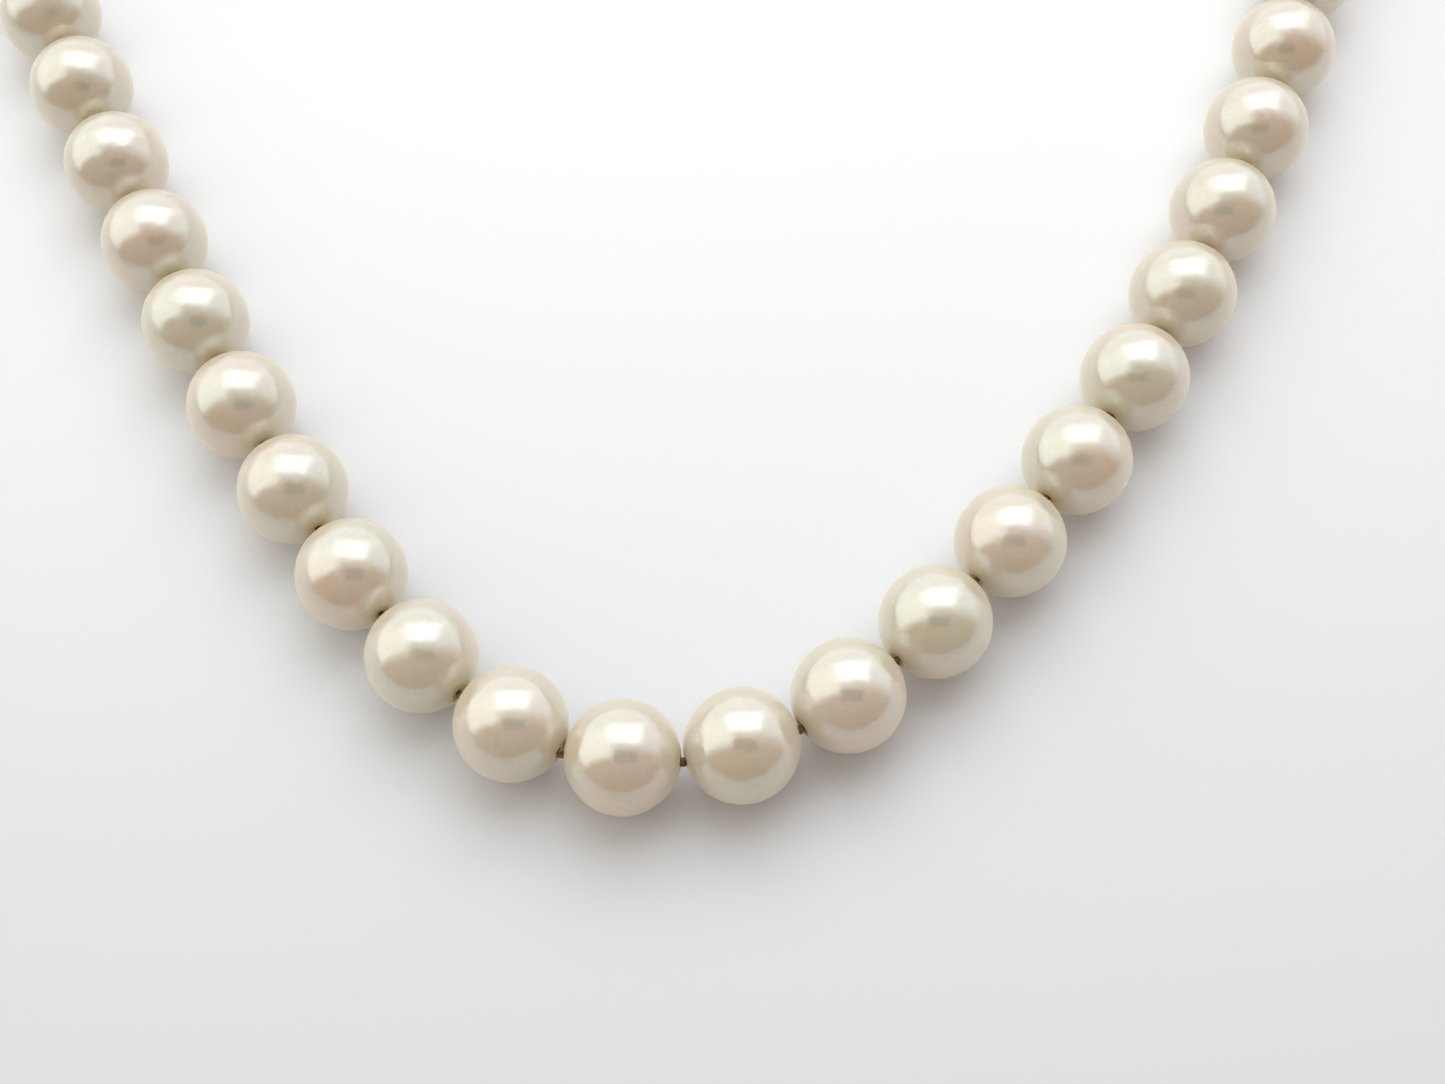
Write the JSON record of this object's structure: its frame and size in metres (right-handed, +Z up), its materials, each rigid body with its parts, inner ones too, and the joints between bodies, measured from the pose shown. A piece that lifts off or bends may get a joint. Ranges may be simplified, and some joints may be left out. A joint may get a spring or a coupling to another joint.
{
  "type": "pearl necklace",
  "caption": "Single strand of round cream pearls on a knotted silk thread, lying open in a U, with a silver box clasp and tongue at its ends.",
  "frame": {"origin": "middle of the outline of the open necklace, on the surface it lies on", "axes": "+Z up from the surface, +Y from the front of the strand towards its two open ends, +X to the right, towards the tongue end"},
  "size_m": [0.1376, 0.1978, 0.008],
  "materials": {
    "pearl": "polished cream nacre with a soft satin lustre",
    "silk": "twisted silk thread, matt",
    "gimp": "fine coiled silver-plated wire",
    "silver": "polished silver, softly worn"
  },
  "bodies": {
    "pearl_01": {"pearl_01": "pearl"},
    "pearl_02": {"pearl_02": "pearl"},
    "pearl_03": {"pearl_03": "pearl"},
    "pearl_04": {"pearl_04": "pearl"},
    "pearl_05": {"pearl_05": "pearl"},
    "pearl_06": {"pearl_06": "pearl"},
    "pearl_07": {"pearl_07": "pearl"},
    "pearl_08": {"pearl_08": "pearl"},
    "pearl_09": {"pearl_09": "pearl"},
    "pearl_10": {"pearl_10": "pearl"},
    "pearl_11": {"pearl_11": "pearl"},
    "pearl_12": {"pearl_12": "pearl"},
    "pearl_13": {"pearl_13": "pearl"},
    "pearl_14": {"pearl_14": "pearl"},
    "pearl_15": {"pearl_15": "pearl"},
    "pearl_16": {"pearl_16": "pearl"},
    "pearl_17": {"pearl_17": "pearl"},
    "pearl_18": {"pearl_18": "pearl"},
    "pearl_19": {"pearl_19": "pearl"},
    "pearl_20": {"pearl_20": "pearl"},
    "pearl_21": {"pearl_21": "pearl"},
    "pearl_22": {"pearl_22": "pearl"},
    "pearl_23": {"pearl_23": "pearl"},
    "pearl_24": {"pearl_24": "pearl", "silk_thread": "silk"},
    "pearl_25": {"pearl_25": "pearl"},
    "pearl_26": {"pearl_26": "pearl"},
    "pearl_27": {"pearl_27": "pearl"},
    "pearl_28": {"pearl_28": "pearl"},
    "pearl_29": {"pearl_29": "pearl"},
    "pearl_30": {"pearl_30": "pearl"},
    "pearl_31": {"pearl_31": "pearl"},
    "pearl_32": {"pearl_32": "pearl"},
    "pearl_33": {"pearl_33": "pearl"},
    "pearl_34": {"pearl_34": "pearl"},
    "pearl_35": {"pearl_35": "pearl"},
    "pearl_36": {"pearl_36": "pearl"},
    "pearl_37": {"pearl_37": "pearl"},
    "pearl_38": {"pearl_38": "pearl"},
    "pearl_39": {"pearl_39": "pearl"},
    "pearl_40": {"pearl_40": "pearl"},
    "pearl_41": {"pearl_41": "pearl"},
    "pearl_42": {"pearl_42": "pearl"},
    "pearl_43": {"pearl_43": "pearl"},
    "pearl_44": {"pearl_44": "pearl"},
    "pearl_45": {"pearl_45": "pearl"},
    "pearl_46": {"pearl_46": "pearl"},
    "pearl_47": {"pearl_47": "pearl"},
    "gimp_left": {"gimp_left": "gimp"},
    "gimp_right": {"gimp_right": "gimp"},
    "clasp_box": {"clasp_box": "silver", "clasp_lid": "silver"},
    "tongue": {"tongue_base": "silver"},
    "spring_leaf": {"tongue_leaf": "silver", "tongue_tab": "silver"}
  },
  "joints": [
    {"name": "leaf_press", "type": "hinge", "parent": "tongue", "child": "spring_leaf", "pos_m": [0.05464, 0.08741, 0.00187], "axis": [0.9699, 0.2436, 0], "range_deg": [0, 9], "stiffness_Nm_per_rad": 0.01},
    {"name": "lift_box", "type": "hinge", "parent": "gimp_left", "child": "clasp_box", "pos_m": [-0.05802, 0.08273, 0.00255], "axis": [0.9707, -0.2402, 0], "range_deg": [0, 60]},
    {"name": "lift_tongue", "type": "hinge", "parent": "gimp_right", "child": "tongue", "pos_m": [0.05825, 0.07306, 0.00255], "axis": [0.9699, 0.2436, 0], "range_deg": [0, 60]},
    {"name": "knot_left_24", "type": "hinge", "parent": "pearl_01", "child": "gimp_left", "pos_m": [-0.05878, 0.07963, 0.004], "axis": [0, 0, -1], "range_deg": [-45, 45], "deforming": ["silk_thread"]},
    {"name": "knot_right_24", "type": "hinge", "parent": "pearl_47", "child": "gimp_right", "pos_m": [0.05903, 0.06996, 0.004], "axis": [0, 0, 1], "range_deg": [-45, 45], "deforming": ["silk_thread"]},
    {"name": "knot_left_01", "type": "hinge", "parent": "pearl_24", "child": "pearl_23", "pos_m": [-0.00927, -0.0944, 0.004], "axis": [0, 0, 1], "range_deg": [-2.2, 53.7], "deforming": ["silk_thread"]},
    {"name": "knot_right_01", "type": "hinge", "parent": "pearl_24", "child": "pearl_25", "pos_m": [-0.00109, -0.09541, 0.004], "axis": [0, 0, -1], "range_deg": [-7.6, 48.3], "deforming": ["silk_thread"]},
    {"name": "knot_left_02", "type": "hinge", "parent": "pearl_23", "child": "pearl_22", "pos_m": [-0.0162, -0.08993, 0.004], "axis": [0, 0, -1], "range_deg": [-43.3, 12.6], "deforming": ["silk_thread"]},
    {"name": "knot_right_02", "type": "hinge", "parent": "pearl_25", "child": "pearl_26", "pos_m": [0.00693, -0.09351, 0.004], "axis": [0, 0, 1], "range_deg": [-48.5, 7.4], "deforming": ["silk_thread"]},
    {"name": "knot_left_03", "type": "hinge", "parent": "pearl_22", "child": "pearl_21", "pos_m": [-0.0217, -0.08379, 0.004], "axis": [0, 0, 1], "range_deg": [-20.8, 35.1], "deforming": ["silk_thread"]},
    {"name": "knot_right_03", "type": "hinge", "parent": "pearl_26", "child": "pearl_27", "pos_m": [0.01378, -0.08892, 0.004], "axis": [0, 0, -1], "range_deg": [-18.4, 37.5], "deforming": ["silk_thread"]},
    {"name": "knot_left_04", "type": "hinge", "parent": "pearl_21", "child": "pearl_20", "pos_m": [-0.02639, -0.07701, 0.004], "axis": [0, 0, -1], "range_deg": [-31.3, 24.6], "deforming": ["silk_thread"]},
    {"name": "knot_right_04", "type": "hinge", "parent": "pearl_27", "child": "pearl_28", "pos_m": [0.01977, -0.08325, 0.004], "axis": [0, 0, 1], "range_deg": [-31.7, 24.2], "deforming": ["silk_thread"]},
    {"name": "knot_left_05", "type": "hinge", "parent": "pearl_20", "child": "pearl_19", "pos_m": [-0.03067, -0.06996, 0.004], "axis": [0, 0, 1], "range_deg": [-25.3, 30.6], "deforming": ["silk_thread"]},
    {"name": "knot_right_05", "type": "hinge", "parent": "pearl_28", "child": "pearl_29", "pos_m": [0.02537, -0.0772, 0.004], "axis": [0, 0, -1], "range_deg": [-24.9, 31], "deforming": ["silk_thread"]},
    {"name": "knot_left_06", "type": "hinge", "parent": "pearl_19", "child": "pearl_18", "pos_m": [-0.03463, -0.06273, 0.004], "axis": [0, 0, -1], "range_deg": [-29.5, 26.4], "deforming": ["silk_thread"]},
    {"name": "knot_right_06", "type": "hinge", "parent": "pearl_29", "child": "pearl_30", "pos_m": [0.03066, -0.07087, 0.004], "axis": [0, 0, 1], "range_deg": [-32.8, 23.1], "deforming": ["silk_thread"]},
    {"name": "knot_left_07", "type": "hinge", "parent": "pearl_18", "child": "pearl_17", "pos_m": [-0.03838, -0.05539, 0.004], "axis": [0, 0, 1], "range_deg": [-26.8, 29.1], "deforming": ["silk_thread"]},
    {"name": "knot_right_07", "type": "hinge", "parent": "pearl_30", "child": "pearl_31", "pos_m": [0.03538, -0.06412, 0.004], "axis": [0, 0, -1], "range_deg": [-23.6, 32.3], "deforming": ["silk_thread"]},
    {"name": "knot_left_08", "type": "hinge", "parent": "pearl_17", "child": "pearl_16", "pos_m": [-0.04199, -0.04797, 0.004], "axis": [0, 0, -1], "range_deg": [-28.8, 27.1], "deforming": ["silk_thread"]},
    {"name": "knot_right_08", "type": "hinge", "parent": "pearl_31", "child": "pearl_32", "pos_m": [0.03959, -0.05703, 0.004], "axis": [0, 0, 1], "range_deg": [-30.8, 25.1], "deforming": ["silk_thread"]},
    {"name": "knot_left_09", "type": "hinge", "parent": "pearl_16", "child": "pearl_15", "pos_m": [-0.04548, -0.0405, 0.004], "axis": [0, 0, 1], "range_deg": [-26.8, 29.1], "deforming": ["silk_thread"]},
    {"name": "knot_right_09", "type": "hinge", "parent": "pearl_32", "child": "pearl_33", "pos_m": [0.04344, -0.04974, 0.004], "axis": [0, 0, -1], "range_deg": [-25.4, 30.5], "deforming": ["silk_thread"]},
    {"name": "knot_left_10", "type": "hinge", "parent": "pearl_15", "child": "pearl_14", "pos_m": [-0.04882, -0.03296, 0.004], "axis": [0, 0, -1], "range_deg": [-29.7, 26.2], "deforming": ["silk_thread"]},
    {"name": "knot_right_10", "type": "hinge", "parent": "pearl_33", "child": "pearl_34", "pos_m": [0.04696, -0.04228, 0.004], "axis": [0, 0, 1], "range_deg": [-30.5, 25.4], "deforming": ["silk_thread"]},
    {"name": "knot_left_11", "type": "hinge", "parent": "pearl_14", "child": "pearl_13", "pos_m": [-0.05193, -0.02533, 0.004], "axis": [0, 0, 1], "range_deg": [-25.6, 30.3], "deforming": ["silk_thread"]},
    {"name": "knot_right_11", "type": "hinge", "parent": "pearl_34", "child": "pearl_35", "pos_m": [0.05013, -0.03467, 0.004], "axis": [0, 0, -1], "range_deg": [-25.7, 30.2], "deforming": ["silk_thread"]},
    {"name": "knot_left_12", "type": "hinge", "parent": "pearl_13", "child": "pearl_12", "pos_m": [-0.05473, -0.01757, 0.004], "axis": [0, 0, -1], "range_deg": [-30.5, 25.4], "deforming": ["silk_thread"]},
    {"name": "knot_right_12", "type": "hinge", "parent": "pearl_35", "child": "pearl_36", "pos_m": [0.05301, -0.02694, 0.004], "axis": [0, 0, 1], "range_deg": [-29.7, 26.2], "deforming": ["silk_thread"]},
    {"name": "knot_left_13", "type": "hinge", "parent": "pearl_12", "child": "pearl_11", "pos_m": [-0.05718, -0.0097, 0.004], "axis": [0, 0, 1], "range_deg": [-25.8, 30.1], "deforming": ["silk_thread"]},
    {"name": "knot_right_13", "type": "hinge", "parent": "pearl_36", "child": "pearl_37", "pos_m": [0.05566, -0.01914, 0.004], "axis": [0, 0, -1], "range_deg": [-26.3, 29.6], "deforming": ["silk_thread"]},
    {"name": "knot_left_14", "type": "hinge", "parent": "pearl_11", "child": "pearl_10", "pos_m": [-0.05933, -0.00174, 0.004], "axis": [0, 0, -1], "range_deg": [-30, 25.9], "deforming": ["silk_thread"]},
    {"name": "knot_right_14", "type": "hinge", "parent": "pearl_37", "child": "pearl_38", "pos_m": [0.05808, -0.01125, 0.004], "axis": [0, 0, 1], "range_deg": [-29.9, 26], "deforming": ["silk_thread"]},
    {"name": "knot_left_15", "type": "hinge", "parent": "pearl_10", "child": "pearl_09", "pos_m": [-0.0612, 0.00629, 0.004], "axis": [0, 0, 1], "range_deg": [-25.7, 30.2], "deforming": ["silk_thread"]},
    {"name": "knot_right_15", "type": "hinge", "parent": "pearl_38", "child": "pearl_39", "pos_m": [0.06023, -0.0033, 0.004], "axis": [0, 0, -1], "range_deg": [-25.4, 30.5], "deforming": ["silk_thread"]},
    {"name": "knot_left_16", "type": "hinge", "parent": "pearl_09", "child": "pearl_08", "pos_m": [-0.06275, 0.01439, 0.004], "axis": [0, 0, -1], "range_deg": [-30.9, 25], "deforming": ["silk_thread"]},
    {"name": "knot_right_16", "type": "hinge", "parent": "pearl_39", "child": "pearl_40", "pos_m": [0.06203, 0.00475, 0.004], "axis": [0, 0, 1], "range_deg": [-31.1, 24.8], "deforming": ["silk_thread"]},
    {"name": "knot_left_17", "type": "hinge", "parent": "pearl_08", "child": "pearl_07", "pos_m": [-0.06389, 0.02255, 0.004], "axis": [0, 0, 1], "range_deg": [-24.6, 31.3], "deforming": ["silk_thread"]},
    {"name": "knot_right_17", "type": "hinge", "parent": "pearl_40", "child": "pearl_41", "pos_m": [0.06338, 0.01288, 0.004], "axis": [0, 0, -1], "range_deg": [-24.6, 31.3], "deforming": ["silk_thread"]},
    {"name": "knot_left_18", "type": "hinge", "parent": "pearl_07", "child": "pearl_06", "pos_m": [-0.06455, 0.03077, 0.004], "axis": [0, 0, -1], "range_deg": [-30.7, 25.2], "deforming": ["silk_thread"]},
    {"name": "knot_right_18", "type": "hinge", "parent": "pearl_41", "child": "pearl_42", "pos_m": [0.06425, 0.02108, 0.004], "axis": [0, 0, 1], "range_deg": [-30.6, 25.3], "deforming": ["silk_thread"]},
    {"name": "knot_left_19", "type": "hinge", "parent": "pearl_06", "child": "pearl_05", "pos_m": [-0.06481, 0.03901, 0.004], "axis": [0, 0, 1], "range_deg": [-25.4, 30.5], "deforming": ["silk_thread"]},
    {"name": "knot_right_19", "type": "hinge", "parent": "pearl_42", "child": "pearl_43", "pos_m": [0.06474, 0.02931, 0.004], "axis": [0, 0, -1], "range_deg": [-24.7, 31.2], "deforming": ["silk_thread"]},
    {"name": "knot_left_20", "type": "hinge", "parent": "pearl_05", "child": "pearl_04", "pos_m": [-0.0647, 0.04726, 0.004], "axis": [0, 0, -1], "range_deg": [-31.7, 24.2], "deforming": ["silk_thread"]},
    {"name": "knot_right_20", "type": "hinge", "parent": "pearl_43", "child": "pearl_44", "pos_m": [0.06477, 0.03756, 0.004], "axis": [0, 0, 1], "range_deg": [-32.1, 23.8], "deforming": ["silk_thread"]},
    {"name": "knot_left_21", "type": "hinge", "parent": "pearl_04", "child": "pearl_03", "pos_m": [-0.06406, 0.05548, 0.004], "axis": [0, 0, 1], "range_deg": [-23, 32.9], "deforming": ["silk_thread"]},
    {"name": "knot_right_21", "type": "hinge", "parent": "pearl_44", "child": "pearl_45", "pos_m": [0.06419, 0.04578, 0.004], "axis": [0, 0, -1], "range_deg": [-22.8, 33.1], "deforming": ["silk_thread"]},
    {"name": "knot_left_22", "type": "hinge", "parent": "pearl_03", "child": "pearl_02", "pos_m": [-0.06271, 0.06361, 0.004], "axis": [0, 0, -1], "range_deg": [-32.1, 23.8], "deforming": ["silk_thread"]},
    {"name": "knot_right_22", "type": "hinge", "parent": "pearl_45", "child": "pearl_46", "pos_m": [0.06287, 0.05392, 0.004], "axis": [0, 0, 1], "range_deg": [-31.6, 24.3], "deforming": ["silk_thread"]},
    {"name": "knot_left_23", "type": "hinge", "parent": "pearl_02", "child": "pearl_01", "pos_m": [-0.06077, 0.07162, 0.004], "axis": [0, 0, 1], "range_deg": [-27.7, 28.2], "deforming": ["silk_thread"]},
    {"name": "knot_right_23", "type": "hinge", "parent": "pearl_46", "child": "pearl_47", "pos_m": [0.06104, 0.06196, 0.004], "axis": [0, 0, -1], "range_deg": [-26.7, 29.2], "deforming": ["silk_thread"]}
  ]
}
